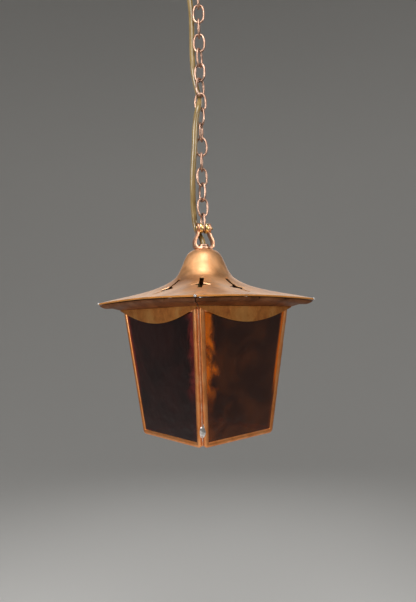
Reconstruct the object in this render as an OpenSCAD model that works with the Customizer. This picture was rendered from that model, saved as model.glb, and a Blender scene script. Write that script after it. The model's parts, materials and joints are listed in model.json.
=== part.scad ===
// Square hanging lantern in copper: a bell-domed roof with flared eaves over four tapering glass panes,
// on a link chain with its flex threaded beside it, below a ceiling cup and hook.
// Millimetres. +Z is up and z = 0 is the ceiling. The front corner of the lantern points along -Y.

/* [Ceiling fitting] */
// Distance between the two fixing screws
fixing_spacing = 50.8; // [40:0.2:60]
// Diameter of each fixing hole
fixing_hole_d = 4.6; // [3.5:0.1:5.5]
// Diameter of the ceiling cup at its rim
cup_d = 92; // [86:1:120]
// Depth of the ceiling cup
cup_h = 26; // [24:1:32]

/* [Chain] */
// Diameter of the link wire
wire_d = 2.8; // [2.4:0.1:3]
// Outside length of a link
link_len = 24.3; // [24:0.1:27]
// Outside width of a link
link_w = 15.6; // [15:0.1:17]
// Slack left between neighbouring links
link_gap = 0.2; // [0.15:0.05:0.4]

/* [Roof] */
// Side of the square roof
roof_side = 185; // [180:1:195]
// Height of the dome above the eaves corners
dome_h = 63.5; // [58:0.5:68]
// Rise of each eaves edge at its middle, above the corners
eaves_arch = 2.5; // [0:0.5:4]
// Thickness of the roof sheet
sheet_t = 1; // [0.8:0.1:1.2]
// Drop from the eaves corners to the fold above the aprons
fold_drop = 8; // [6:0.5:10]
// Depth of each scalloped apron at its middle
apron_h = 17; // [12:0.5:20]

/* [Body] */
// Distance from the axis to a pane's outer face, at the top
pane_reach_top = 72; // [70:0.5:73]
// Distance from the axis to a pane's outer face, at the bottom
pane_reach_bottom = 56.2; // [54:0.2:60]
// Height of the glazed body
body_h = 147; // [130:1:160]
// Width of a channel as seen from the front
channel_w = 6; // [5:0.5:8]
// Thickness of a channel, front to back
channel_t = 4; // [3.6:0.1:5]
// Thickness of the glass
glass_t = 2.4; // [2:0.1:2.8]

/* [Flex] */
// Outside diameter of the flex
flex_d = 6.8; // [6:0.1:6.8]

/* [Hidden] */

copper = [0.78, 0.46, 0.28];
bright_copper = [0.86, 0.50, 0.28];
dull_copper = [0.66, 0.48, 0.38];
brass = [0.85, 0.65, 0.30];
zinc = [0.62, 0.62, 0.60];
solder = [0.72, 0.72, 0.70];
amber = [0.25, 0.09, 0.03, 0.85];
clear = [0.95, 0.95, 0.90, 0.40];

// Round surfaces
fine = 64;
small = 32;
slip = 0.05;

// Ceiling fitting
strap_t = 2;
strap_w = 16;
strap_len = 70;
strap_drop = 8;
shank_r = 2.5;
hook_wire_r = 2;
hook_ring_r = 9;
hook_z = -64.8;
cup_t = 1.2;
cup_flat = 30;
nut_h = 4;
grip_x = -22;
grip_y = 4;
grip_bore_r = 3.6;

// Chain: link 1 hangs on the hook and the last link carries the pin
link_count = 18;
bow_r = (link_w - wire_d) / 2;
link_core = link_len - wire_d;
link_pitch = link_core - wire_d - link_gap;
pin_r = 2;
first_top_z = hook_z + hook_wire_r + wire_d / 2 + link_gap;
last_bottom_z = first_top_z - (link_count - 1) * link_pitch - link_core;
pin_z = last_bottom_z + pin_r + wire_d / 2 + link_gap;
// Turn of each link about the chain, where 0 lies across the front
link_turn = [90, 0, 90, 0, 90, 0, 69, -22, 51, 0, -50, -100, 0, 90, 33, 126, 28, 112];

// Stirrup, turned about the axis with its pin
hanger_turn = 22;
ear_r = 6.3;
ear_in = 5.6;
ear_t = 2.8;
arm_t = 2.8;
arm_w = 8;
spacer_in = 1.7;
spacer_t = 3.8;
strap_base_t = 2.4;
pin_above_dome = 25.4;
dome_z = pin_z - pin_above_dome;
nipple_r = 5;
nipple_bore_r = 3.6;

// Roof: a profile through the middle of a face, as two cubic curves from the top hole to the eaves
eaves_z = dome_z - dome_h;
half_side = roof_side / 2;
hole_r = 5.2;
hem_r = 1;
hem_w = 7;
round_to = 34;
roof_sides = 48;
dome_curve = [[hole_r, dome_h], [20.5, dome_h], [22.5, dome_h - 11.5], [27, dome_h - 21.5]];
flare_curve = [
    [27, dome_h - 21.5], [31.5, dome_h - 32.5], [40.5, 13], [half_side - hem_r, eaves_arch + hem_r]
];
strip_t = 0.8;
apron_reach = pane_reach_top + 1.1;
vent_in = 38;
vent_out = 76;
vent_mid = 56;
vent_w = 5;
vent_span = 22;

// Body
body_top_z = eaves_z - fold_drop - 0.4;
body_bottom_z = body_top_z - body_h;
pane_lean = atan((pane_reach_top - pane_reach_bottom) / body_h);
pane_len = body_h / cos(pane_lean);
slot_t = glass_t + 0.2;
slot_depth = channel_w - 1.2;

// Lampholder, with heights below the top of the dome
cap_top = 10;
holder_top = 26;
holder_r = 14.2;
bulb_top = 44;
bulb_r = 30;

// Line of the flex, from the ceiling cup down to the lampholder
flex_route = [
    [-22, 4, -20], [-22, 4, -32], [-22, 4, -44], [-20.4, 4.4, -62], [-16, 5.4, -82], [-11.4, 6.2, -103],
    [-9.4, 6.6, -124], [-9.2, 6.8, -145], [-9.4, 7, -165], [-9.2, 7.2, -182], [-8.2, 7.7, -196],
    [-6.6, 8.7, -207.5], [-4.8, 9.4, -216.5], [-2.9, 8.7, -224.6], [-1.6, 5.8, -231.6], [-1.3, 0, -238.5],
    [-1.9, -5.8, -245.4], [-3.3, -8.7, -252.6], [-4.9, -9.4, -261], [-6.2, -9, -271], [-7, -8.2, -281],
    [-7.6, -7.4, -292], [-8.6, -6.4, -304], [-9.8, -5, -317], [-10.8, -3, -330], [-11.4, -0.4, -343],
    [-11.6, 2.4, -354.5], [-11.7, 4.8, -364], [-11.3, 6.6, -373], [-10.9, 7.8, -381], [-10.1, 8.4, -387],
    [-8.9, 8.4, -392.5], [-6.9, 7.8, -397.5], [-4.3, 6.2, -402], [-2.4, 3.9, -406], [-1.1, 1.7, -410],
    [-0.3, 0.5, -414], [-0.1, 0.1, -416.3], [0, 0, -418.5], [0, 0, -425], [0, 0, -431.5], [0, 0, -438]
];
flex_sides = 10;

// A point on a cubic curve, and the same point moved inwards by a sheet's thickness
function curve(p, t) = pow(1 - t, 3) * p[0] + 3 * pow(1 - t, 2) * t * p[1]
    + 3 * (1 - t) * t * t * p[2] + pow(t, 3) * p[3];
function slope(p, t) = pow(1 - t, 2) * (p[1] - p[0]) + 2 * (1 - t) * t * (p[2] - p[1])
    + t * t * (p[3] - p[2]);
function inside(p, t, by) = let (s = slope(p, t)) curve(p, t) - by * [-s[1], s[0]] / norm(s);
function steps(from, to, count) = [for (i = [0:count]) from + (to - from) * i / count];

// Closed mesh over a list of rings, joined end to end or closed with two flat caps
module skin(rings, loop = false) {
    n = len(rings);
    m = len(rings[0]);
    last = loop ? n : n - 1;
    at = function(i, j) (i % n) * m + j % m;
    sides = [for (i = [0:last - 1], j = [0:m - 1]) each [
        [at(i, j), at(i + 1, j), at(i + 1, j + 1)],
        [at(i, j), at(i + 1, j + 1), at(i, j + 1)]
    ]];
    caps = loop ? [] : [[for (j = [0:m - 1]) at(0, j)], [for (j = [m - 1:-1:0]) at(n - 1, j)]];
    polyhedron([for (r = rings) each r], concat(sides, caps), convexity = 8);
}

// A ring in plan: round near the dome and square at the eaves
function squareness(rho) = rho <= round_to ? 0 : sin(90 * min(1, (rho - round_to) / (half_side - round_to)));
function reach(rho, angle) = let (
    power = 2 / max(0.001, 1 - squareness(rho)),
    big = max(abs(cos(angle)), abs(sin(angle))),
    little = min(abs(cos(angle)), abs(sin(angle)))
) rho / big / pow(1 + pow(little / big, power), 1 / power);
function corner_share(rho, angle) = (reach(rho, angle) / rho - 1) / (sqrt(2) - 1);
function roof_point(p, angle) = let (r = reach(p[0], angle)) [
    r * cos(angle + 45), r * sin(angle + 45),
    eaves_z + p[1] - eaves_arch * corner_share(p[0], angle) * pow(p[0] / half_side, 6)
];
function roof_profile() = concat(
    [for (t = steps(0, 1, 6)) curve(dome_curve, t)],
    [for (t = steps(0.11, 1, 9)) curve(flare_curve, t)],
    [for (a = [45, 0, -45, -90]) [half_side - hem_r + hem_r * cos(a), eaves_arch + hem_r * sin(a)]],
    [[half_side - hem_w, eaves_arch + 0.4]],
    [for (t = steps(0.95, 0.11, 8)) inside(flare_curve, t, sheet_t)],
    [for (t = steps(1, 0, 6)) inside(dome_curve, t, sheet_t)]
);

module vent_outline() {
    w = vent_w / 2;
    arm = vent_span / 2;
    polygon([
        [vent_in, -w], [vent_mid - 5, -w], [vent_mid - 0.6, -arm], [vent_mid + 0.6, -arm],
        [vent_mid + 5, -w], [vent_out, -w], [vent_out, w], [vent_mid + 5, w],
        [vent_mid + 0.6, arm], [vent_mid - 0.6, arm], [vent_mid - 5, w], [vent_in, w]
    ]);
}

module roof() {
    profile = roof_profile();
    color(copper) difference() {
        skin(
            [for (j = [0:roof_sides - 1]) [for (p = profile) roof_point(p, j * 360 / roof_sides)]],
            loop = true
        );
        for (turn = [0:45:315])
            rotate([0, 0, turn]) translate([0, 0, eaves_z + 4]) linear_extrude(40) vent_outline();
    }
}

// Soffit: a strip from under the roof's rim in to the body, given by the line of its lower face
function soffit_line(share) = let (
    edge_z = eaves_arch * (1 - (sqrt(1 + share * share) - 1) / (sqrt(2) - 1)) - hem_r - 0.9
) [
    [half_side - 1.2, edge_z], [half_side - 3.4, edge_z - 2.2], [half_side - 7, edge_z - 3.9],
    [half_side - 12, -fold_drop + 2.4], [apron_reach + 0.9, -fold_drop + 0.2],
    [apron_reach - 0.5, -fold_drop + 0.1]
];
// Apron: a strip down from the soffit with a scalloped edge, given by the line of its outer face
function apron_line(share) = let (
    drop = 1 + (apron_h - 1) * (1 - pow(share, 2)) * (1 - 0.12 * pow(share, 2))
) [[apron_reach, -fold_drop], [apron_reach - tan(pane_lean) * drop, -fold_drop - drop]];
function away(line, i) = let (
    a = line[max(0, i - 1)], b = line[min(len(line) - 1, i + 1)], d = (b - a) / norm(b - a)
) [-d[1], d[0]];
function strip_ring(line, share) = let (
    n = len(line),
    place = function(p) [p[0], share * (p[0] - 0.6), eaves_z + p[1]]
) concat(
    [for (i = [0:n - 1]) place(line[i])],
    [for (i = [n - 1:-1:0]) place(line[i] - strip_t * away(line, i))]
);

module soffit(turn) {
    color(dull_copper) rotate([0, 0, turn])
        skin([for (share = steps(-1, 1, 20)) strip_ring(soffit_line(share), share)]);
}

module apron(turn) {
    color(dull_copper) rotate([0, 0, turn])
        skin([for (share = steps(-1, 1, 20)) strip_ring(apron_line(share), share)]);
}

// Stands a shape drawn in a pane's own plane (X across, Y up the slope) on the body's side
module on_side(turn) {
    rotate([0, 0, turn]) translate([pane_reach_bottom, 0, body_bottom_z])
        rotate([0, pane_lean, 0]) rotate([90, 0, 90]) children();
}
function pane_half(y) = let (s = y / pane_len)
    pane_reach_bottom + (pane_reach_top - pane_reach_bottom) * s - channel_t - slip;
module pane_outline(inset) {
    tilt = atan((pane_reach_top - pane_reach_bottom) / pane_len);
    side = inset / cos(tilt);
    polygon([
        [-pane_half(inset) + side, inset], [pane_half(inset) - side, inset],
        [pane_half(pane_len - inset) - side, pane_len - inset],
        [-pane_half(pane_len - inset) + side, pane_len - inset]
    ]);
}

module pane_frame(turn) {
    color(bright_copper) on_side(turn) difference() {
        translate([0, 0, -channel_t]) linear_extrude(channel_t) pane_outline(0);
        translate([0, 0, -channel_t - 1]) linear_extrude(channel_t + 2) pane_outline(channel_w);
        translate([0, 0, -(channel_t + slot_t) / 2]) linear_extrude(slot_t)
            pane_outline(channel_w - slot_depth);
    }
}

module glass_pane(turn) {
    color(amber) on_side(turn) translate([0, 0, -(channel_t + glass_t) / 2])
        linear_extrude(glass_t) pane_outline(channel_w - slot_depth + 0.3);
}

// Solder run down each outside corner, in the notch where two frames meet
module solder_seams() {
    leg = 2;
    foot = function(reach_at, z) let (c = reach_at - channel_t + 0.08) [
        [c, c, z], [c + leg, c, z], [c, c + leg, z]
    ];
    color(solder) for (turn = [-135, -45, 45, 135]) rotate([0, 0, turn])
        skin([foot(pane_reach_bottom, body_bottom_z), foot(pane_reach_top, body_top_z)]);
}

// Turned part about the axis, from points given as radius and height below the top of the dome
module turned(points) {
    translate([0, 0, dome_z]) rotate_extrude($fn = fine) polygon([for (p = points) [p[0], -p[1]]]);
}

module ring_solid(outer_r, inner_r, height) {
    difference() {
        cylinder(r = outer_r, h = height, $fn = fine);
        translate([0, 0, -1]) cylinder(r = inner_r, h = height + 2, $fn = fine);
    }
}

module hex_nut(across, inner_r, height) {
    difference() {
        cylinder(d = across / cos(30), h = height, $fn = 6);
        translate([0, 0, -1]) cylinder(r = inner_r, h = height + 2, $fn = small);
    }
}

module ceiling_bracket() {
    end_x = strap_len / 2;
    foot_x = 17;
    flat_x = 11;
    low = -strap_drop;
    color(zinc) difference() {
        translate([0, strap_w / 2, 0]) rotate([90, 0, 0]) linear_extrude(strap_w) polygon([
            [-end_x, -strap_t], [-foot_x, -strap_t], [-flat_x, low - strap_t], [flat_x, low - strap_t],
            [foot_x, -strap_t], [end_x, -strap_t], [end_x, 0], [foot_x - 1, 0], [flat_x - 1, low],
            [-flat_x + 1, low], [-foot_x + 1, 0], [-end_x, 0]
        ]);
        for (side = [-1, 1]) translate([side * fixing_spacing / 2, 0, -strap_t - 1])
            cylinder(d = fixing_hole_d, h = strap_t + 2, $fn = small);
        translate([0, 0, low - strap_t - 1]) cylinder(r = shank_r + 0.1, h = strap_t + 2, $fn = small);
    }
}

module shank_nuts() {
    color(brass) {
        translate([0, 0, -strap_drop + slip]) hex_nut(9, shank_r + slip, nut_h - 0.5);
        translate([0, 0, -strap_drop - strap_t - nut_h]) hex_nut(9, shank_r + slip, nut_h - slip);
        translate([0, 0, -cup_h - nut_h]) ring_solid(6, shank_r + slip, nut_h - slip);
    }
}

module ceiling_hook() {
    ring_top = hook_z + 2 * hook_ring_r;
    color(copper) {
        translate([0, 0, ring_top])
            cylinder(r = shank_r, h = -strap_drop + nut_h + 1 - ring_top, $fn = small);
        translate([0, 0, hook_z + hook_ring_r]) rotate([90, 0, 0]) rotate([0, 0, 150])
            rotate_extrude(angle = 300, $fn = fine) translate([hook_ring_r, 0])
                circle(hook_wire_r, $fn = small);
    }
}

module ceiling_cup() {
    r = cup_d / 2;
    color(copper) difference() {
        rotate_extrude($fn = fine) polygon(concat(
            [[0, -cup_h]],
            [for (a = [0:10:80]) [cup_flat + (r - 3 - cup_flat) * sin(a), -2 - (cup_h - 2) * cos(a)]],
            [[r - 2.6, -1.2], [r, -1], [r, 0], [r - 3.6, 0]],
            [for (a = [80:-10:0])
                [cup_flat + (r - 3 - cup_flat - cup_t) * sin(a), -2 - (cup_h - 2 - cup_t) * cos(a)]],
            [[0, -cup_h + cup_t]]
        ));
        translate([0, 0, -cup_h - 1]) cylinder(r = shank_r + 0.1, h = cup_t + 2, $fn = small);
        translate([grip_x, grip_y, -cup_h - 1]) cylinder(r = 5.1, h = cup_h, $fn = small);
    }
}

module cord_grip() {
    color(brass) translate([grip_x, grip_y, 0]) rotate_extrude($fn = fine) polygon([
        [grip_bore_r, -21], [5, -21], [5, -cup_h - slip], [7.6, -cup_h - slip], [7.6, -30], [6.4, -32],
        [5, -41], [grip_bore_r, -41]
    ]);
}

module cord_grip_nut() {
    color(brass) translate([grip_x, grip_y, -cup_h + cup_t + slip]) hex_nut(13, 5 + slip, 2.6);
}

module terminal_block() {
    color([0.9, 0.9, 0.86]) translate([24, 0, -12]) difference() {
        cube([12, 24, 8], center = true);
        for (y = [-8, 0, 8]) {
            translate([0, y, -1]) rotate([0, 90, 0]) cylinder(d = 3.6, h = 14, center = true, $fn = small);
            for (x = [-3, 3]) translate([x, y, 0]) cylinder(d = 3.2, h = 6, $fn = small);
        }
    }
}

module link_shape() {
    for (end = [1, -1]) rotate([0, end > 0 ? 0 : 180, 0]) translate([0, 0, link_core / 2 - bow_r])
        rotate([90, 0, 0]) rotate_extrude(angle = 180, $fn = fine) translate([bow_r, 0])
            circle(d = wire_d, $fn = small);
    for (side = [-1, 1]) translate([side * bow_r, 0, 0])
        cylinder(d = wire_d, h = link_core - 2 * bow_r, center = true, $fn = small);
}

module chain_link(number) {
    color(dull_copper)
        translate([0, 0, first_top_z - link_core / 2 - (number - 1) * link_pitch])
            rotate([0, 0, link_turn[number - 1]]) link_shape();
}

// The flex as a tube along its line, with each ring square to the line
function along(i) = let (a = flex_route[max(0, i - 1)], b = flex_route[min(len(flex_route) - 1, i + 1)])
    (b - a) / norm(b - a);
function flex_ring(i) = let (
    d = along(i),
    across = cross([0, 1, 0], d) / norm(cross([0, 1, 0], d)),
    up = cross(d, across)
) [for (k = [0:flex_sides - 1]) let (a = k * 360 / flex_sides)
    flex_route[i] + flex_d / 2 * (cos(a) * across + sin(a) * up)];

module flex() {
    color([0.62, 0.52, 0.22]) skin([for (i = [0:len(flex_route) - 1]) flex_ring(i)]);
}

// Half of the stirrup's bell outline, as one curve from the ear to the foot
stirrup_curve = [[7, -2], [7, -12], [12.4, -12], [11.2, -20]];
module stirrup_half() {
    outer = [for (t = steps(0, 1, 8)) inside(stirrup_curve, t, -arm_t / 2)];
    inner = [for (t = steps(1, 0, 8)) inside(stirrup_curve, t, arm_t / 2)];
    base = -pin_above_dome + slip;
    foot = concat(
        [for (a = [15:15:75]) [8.6 + 4.2 * cos(a), base + 4.2 - 4.2 * sin(a)]],
        [[8, base], [0, base], [0, base + strap_base_t], [7.6, base + strap_base_t]]
    );
    polygon(concat(outer, foot, inner));
}

module stirrup() {
    color(copper) translate([0, 0, pin_z]) rotate([0, 0, hanger_turn]) difference() {
        union() {
            for (side = [0, 1]) mirror([side, 0, 0]) {
                translate([0, arm_w / 2, 0]) rotate([90, 0, 0]) linear_extrude(arm_w) stirrup_half();
                translate([ear_in, 0, 0]) rotate([0, 90, 0]) cylinder(r = ear_r, h = ear_t, $fn = fine);
            }
            translate([0, 0, -pin_above_dome + slip]) cylinder(r = 8, h = strap_base_t, $fn = fine);
        }
        translate([0, 0, -pin_above_dome - 1])
            cylinder(r = nipple_r + 0.1, h = strap_base_t + 2, $fn = fine);
        translate([-ear_in - ear_t - 1, 0, 0]) rotate([0, 90, 0])
            cylinder(r = pin_r + slip, h = 2 * (ear_in + ear_t + 1), $fn = small);
    }
}

module cross_pin() {
    out = ear_in + ear_t + slip;
    outline = concat(
        [[0, -out - 1.2], [2.6, -out - 1.2], [3, -out - 0.8], [3, -out], [pin_r, -out], [pin_r, out + 0.3],
        [0.9, out + 0.5]],
        [for (a = [-50:20:90]) [1.7 * cos(a), out + 2.2 + 1.7 * sin(a)]]
    );
    color(brass) translate([0, 0, pin_z]) rotate([0, 90, hanger_turn])
        rotate_extrude($fn = small) polygon(outline);
}

module pin_spacers() {
    color(brass) translate([0, 0, pin_z]) rotate([0, 0, hanger_turn]) for (side = [-1, 1])
        translate([side > 0 ? spacer_in : -spacer_in - spacer_t, 0, 0]) rotate([0, 90, 0])
            ring_solid(6.2, pin_r + slip, spacer_t);
}

module collar_nut() {
    base = -strap_base_t - 0.1;
    color(dull_copper) turned([
        [nipple_r + slip, base], [6.2, base], [6.2, base - 2.6], [5.6, base - 3.3],
        [nipple_r + slip, base - 3.3]
    ]);
}

module nipple() {
    color(brass) turned([[nipple_bore_r, -2.8], [nipple_r, -2.8], [nipple_r, 17], [nipple_bore_r, 17]]);
}

module inner_nut() {
    color(brass) translate([0, 0, dome_z - 5.8]) hex_nut(14, nipple_r + slip, 4);
}

module lampholder_cap() {
    color(brass) turned([
        [nipple_r + slip, cap_top - 3], [8, cap_top - 3], [8, cap_top + 2], [12, cap_top + 5],
        [15.6, cap_top + 10], [16, cap_top + 16], [14.6, cap_top + 16], [14.2, cap_top + 10.4],
        [11, cap_top + 6.4], [nipple_r + slip, cap_top + 6.4]
    ]);
}

module lampholder_body() {
    color(brass) turned([
        [0, holder_top + 2], [13.9, holder_top + 2], [13.9, holder_top + 0.2], [15.6, holder_top + 0.2],
        [15.6, holder_top + 2.4], [holder_r, holder_top + 2.4], [holder_r, holder_top + 28],
        [11.8, holder_top + 28], [11.8, holder_top + 10], [0, holder_top + 10]
    ]);
}

module shade_ring() {
    color(brass) turned([
        [holder_r + slip, 38], [18.4, 38], [18.4, 39.6], [16.2, 40], [16.2, 44], [holder_r + slip, 44]
    ]);
}

module contact_plungers() {
    color(zinc) for (x = [-3.4, 3.4])
        translate([x, 0, dome_z - bulb_top + slip])
            cylinder(d = 3.4, h = bulb_top - holder_top - 10 - 2 * slip, $fn = small);
}

module bulb_cap() {
    color(zinc) turned([
        [0, bulb_top], [8, bulb_top], [11, bulb_top + 3], [11, bulb_top + 25], [0, bulb_top + 25]
    ]);
}

module bulb_glass() {
    neck = bulb_top + 25 + slip;
    centre = neck + 46;
    outline = function(by) concat(
        [[10.6 - by, neck]],
        [for (a = [150:-12:6])
            [(bulb_r - by) * sin(a) * (a > 140 ? 0.92 : 1), centre + (bulb_r - by) * cos(a)]]
    );
    shell = outline(0);
    hollow = outline(0.8);
    color(clear) turned(concat(
        shell, [[0, centre + bulb_r], [0, centre + bulb_r - 0.8]],
        [for (i = [len(hollow) - 1:-1:1]) hollow[i]], [[9.8, neck + 0.8], [0, neck + 0.8], [0, neck]]
    ));
}

ceiling_bracket();
ceiling_hook();
shank_nuts();
ceiling_cup();
cord_grip();
cord_grip_nut();
terminal_block();
chain_link(1);  // chain_link_01
chain_link(2);  // chain_link_02
chain_link(3);  // chain_link_03
chain_link(4);  // chain_link_04
chain_link(5);  // chain_link_05
chain_link(6);  // chain_link_06
chain_link(7);  // chain_link_07
chain_link(8);  // chain_link_08
chain_link(9);  // chain_link_09
chain_link(10);  // chain_link_10
chain_link(11);  // chain_link_11
chain_link(12);  // chain_link_12
chain_link(13);  // chain_link_13
chain_link(14);  // chain_link_14
chain_link(15);  // chain_link_15
chain_link(16);  // chain_link_16
chain_link(17);  // chain_link_17
chain_link(18);  // chain_link_18
flex();
stirrup();
cross_pin();
pin_spacers();
collar_nut();
nipple();
inner_nut();
roof();
soffit(-135);  // soffit_front_left
soffit(-45);  // soffit_front_right
soffit(45);  // soffit_back_right
soffit(135);  // soffit_back_left
apron(-135);  // apron_front_left
apron(-45);  // apron_front_right
apron(45);  // apron_back_right
apron(135);  // apron_back_left
pane_frame(-135);  // frame_front_left
pane_frame(-45);  // frame_front_right
pane_frame(45);  // frame_back_right
pane_frame(135);  // frame_back_left
glass_pane(-135);  // glass_front_left
glass_pane(-45);  // glass_front_right
glass_pane(45);  // glass_back_right
glass_pane(135);  // glass_back_left
solder_seams();
lampholder_cap();
lampholder_body();
shade_ring();
contact_plungers();
bulb_cap();
bulb_glass();
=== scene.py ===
import json
import math

import bmesh
import bpy
from mathutils import Matrix, Vector, noise


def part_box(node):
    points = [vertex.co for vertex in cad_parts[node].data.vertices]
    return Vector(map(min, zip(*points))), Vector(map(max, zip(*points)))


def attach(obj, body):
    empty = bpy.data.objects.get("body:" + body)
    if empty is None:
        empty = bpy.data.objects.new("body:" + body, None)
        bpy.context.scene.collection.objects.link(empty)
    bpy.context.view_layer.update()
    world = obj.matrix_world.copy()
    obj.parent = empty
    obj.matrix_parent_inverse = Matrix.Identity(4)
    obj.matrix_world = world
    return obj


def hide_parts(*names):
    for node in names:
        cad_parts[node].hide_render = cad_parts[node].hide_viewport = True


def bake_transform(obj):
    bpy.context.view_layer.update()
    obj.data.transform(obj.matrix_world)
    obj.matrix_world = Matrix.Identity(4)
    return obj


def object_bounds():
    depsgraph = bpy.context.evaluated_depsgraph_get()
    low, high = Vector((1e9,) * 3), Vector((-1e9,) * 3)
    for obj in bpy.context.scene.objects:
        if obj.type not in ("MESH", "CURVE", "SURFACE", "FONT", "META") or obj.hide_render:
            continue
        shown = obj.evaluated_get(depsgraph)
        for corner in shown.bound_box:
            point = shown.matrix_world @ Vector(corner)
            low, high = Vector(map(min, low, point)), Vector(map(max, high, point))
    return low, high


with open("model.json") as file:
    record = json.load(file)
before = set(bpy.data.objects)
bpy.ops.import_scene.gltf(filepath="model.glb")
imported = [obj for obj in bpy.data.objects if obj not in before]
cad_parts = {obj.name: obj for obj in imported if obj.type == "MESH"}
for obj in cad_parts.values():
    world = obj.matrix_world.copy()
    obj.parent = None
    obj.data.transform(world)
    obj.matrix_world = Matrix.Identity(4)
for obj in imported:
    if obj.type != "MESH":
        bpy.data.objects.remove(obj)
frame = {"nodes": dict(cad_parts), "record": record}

# A square copper lantern with amber panes, hung on a chain with its flex beside it.
# Lengths are in metres; MM turns millimetres into metres.
MM = 0.001
cad_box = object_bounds()
NODES = frame["nodes"]
CORNERS = {"front_left": -135, "front_right": -45, "back_right": 45, "back_left": 135}

# Sizes that repeat part.scad's and can't be read off the frame
EAVES_ARCH = 2.5 * MM
HEM_R = 1 * MM
FOLD_DROP = 8 * MM
BODY_GAP = 0.4 * MM
HANGER_BASE_T = 2.5 * MM
REACH_TOP = 72 * MM
REACH_BOTTOM = 56.2 * MM
CHANNEL_T = 4 * MM
CHANNEL_W = 6 * MM
SLIP = 0.05 * MM

# Places that follow from the frame
roof_low, roof_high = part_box("roof")
HALF_SIDE = roof_high.x / math.sqrt(2)
EAVES_Z = roof_low.z + HEM_R
DOME_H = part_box("collar_nut")[0].z - HANGER_BASE_T - EAVES_Z
BODY_TOP_Z = EAVES_Z - FOLD_DROP - BODY_GAP
BODY_BOTTOM_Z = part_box("solder_seams")[0].z
LEAN = math.atan2(REACH_TOP - REACH_BOTTOM, BODY_TOP_Z - BODY_BOTTOM_Z)
PANE_LEN = (BODY_TOP_Z - BODY_BOTTOM_Z) / math.cos(LEAN)


# ---------------------------------------------------------------- camera

def add_camera():
    """The main view: from just below the eaves, looking slightly up at the front corner."""
    distance = 600 * MM
    height = EAVES_Z - 25.7 * MM
    pan, pitch, roll, turn = (math.radians(a) for a in (0.37, 2.53, -1.27, 4.0))
    to_camera = Matrix.Rotation(-pitch, 3, "X") @ Matrix.Rotation(pan, 3, "Z")
    from_camera = Matrix.Rotation(turn, 3, "Z") @ to_camera.transposed()
    right = from_camera @ Vector((math.cos(roll), 0, math.sin(roll)))
    up = from_camera @ Vector((-math.sin(roll), 0, math.cos(roll)))
    back = right.cross(up)
    place = Matrix.Rotation(turn, 3, "Z") @ Vector((0, -distance, height))
    data = bpy.data.cameras.new("camera")
    data.lens = 29.9
    data.sensor_width = 36
    data.clip_start = 0.01
    camera = bpy.data.objects.new("camera", data)
    camera.matrix_world = Matrix((
        (right.x, up.x, back.x, place.x), (right.y, up.y, back.y, place.y),
        (right.z, up.z, back.z, place.z), (0, 0, 0, 1),
    ))
    bpy.context.scene.collection.objects.link(camera)
    bpy.context.scene.camera = camera
    bpy.context.scene.view_settings.view_transform = "Standard"


# ---------------------------------------------------------------- mesh helpers

def make_object(name, verts, faces, material=None, smooth=True, crease=35):
    mesh = bpy.data.meshes.new(name)
    mesh.from_pydata([tuple(v) for v in verts], [], faces)
    mesh.validate()
    return dress(bpy.data.objects.new(name, mesh), material, smooth, crease, fix=True)


def dress(obj, material=None, smooth=True, crease=35, fix=False):
    """Links a new object, points its faces outwards, and shades it smooth between creases."""
    if obj.name not in bpy.context.scene.collection.objects:
        bpy.context.scene.collection.objects.link(obj)
    if fix:
        work = bmesh.new()
        work.from_mesh(obj.data)
        bmesh.ops.recalc_face_normals(work, faces=work.faces)
        work.to_mesh(obj.data)
        work.free()
    if smooth:
        obj.data.shade_smooth()
        obj.data.set_sharp_from_angle(angle=math.radians(crease))
    if material:
        obj.data.materials.clear()
        obj.data.materials.append(material)
    return obj


def bake_modifiers(obj):
    """Turns an object's modifiers into plain mesh."""
    bpy.context.view_layer.update()
    graph = bpy.context.evaluated_depsgraph_get()
    mesh = bpy.data.meshes.new_from_object(obj.evaluated_get(graph))
    obj.modifiers.clear()
    obj.data = mesh


def grid_faces(rows, columns, wrap_rows=False):
    """Quads between closed rings of points stored one ring after another."""
    faces = []
    for i in range(rows if wrap_rows else rows - 1):
        for j in range(columns):
            a, b = i * columns, (i + 1) % rows * columns
            k = (j + 1) % columns
            faces.append((a + j, b + j, b + k, a + k))
    return faces


def tube(name, path, radius, sides, material, shape=None):
    """A tube along a path. Its rings don't twist, and shape(i, angle) can scale the radius."""
    points = [Vector(p) for p in path]
    count = len(points)
    aim = []
    for i in range(count):
        aim.append((points[min(count - 1, i + 1)] - points[max(0, i - 1)]).normalized())
    side = aim[0].orthogonal().normalized()
    verts = []
    for i in range(count):
        side = (side - aim[i] * side.dot(aim[i])).normalized()
        across = aim[i].cross(side)
        for j in range(sides):
            a = 2 * math.pi * j / sides
            r = radius * (shape(i, a) if shape else 1)
            verts.append(points[i] + side * (r * math.cos(a)) + across * (r * math.sin(a)))
    faces = grid_faces(count, sides)
    faces += [tuple(range(sides)), tuple(range((count - 1) * sides, count * sides))[::-1]]
    return make_object(name, verts, faces, material)


def lathe(name, outline, material, sides):
    """A turned part about the lantern's axis, from a closed outline of radius and height."""
    verts = []
    for j in range(sides):
        a = 2 * math.pi * j / sides
        verts += [(r * math.cos(a), r * math.sin(a), z) for r, z in outline]
    return make_object(name, verts, grid_faces(sides, len(outline), wrap_rows=True), material)


def turned_about_z(obj, degrees):
    obj.data.transform(Matrix.Rotation(math.radians(degrees), 4, "Z"))
    return obj


def smooth_path(points, step):
    """A Catmull-Rom line through the points, resampled about one step apart."""
    line = []
    for i in range(len(points) - 1):
        p = [Vector(points[min(max(k, 0), len(points) - 1)]) for k in (i - 1, i, i + 1, i + 2)]
        pieces = max(1, round((p[2] - p[1]).length / step))
        for k in range(pieces):
            t = k / pieces
            line.append(0.5 * (
                2 * p[1] + (p[2] - p[0]) * t + (2 * p[0] - 5 * p[1] + 4 * p[2] - p[3]) * t * t
                + (3 * p[1] - p[0] - 3 * p[2] + p[3]) * t ** 3
            ))
    line.append(Vector(points[-1]))
    return line


# ---------------------------------------------------------------- materials

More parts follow.
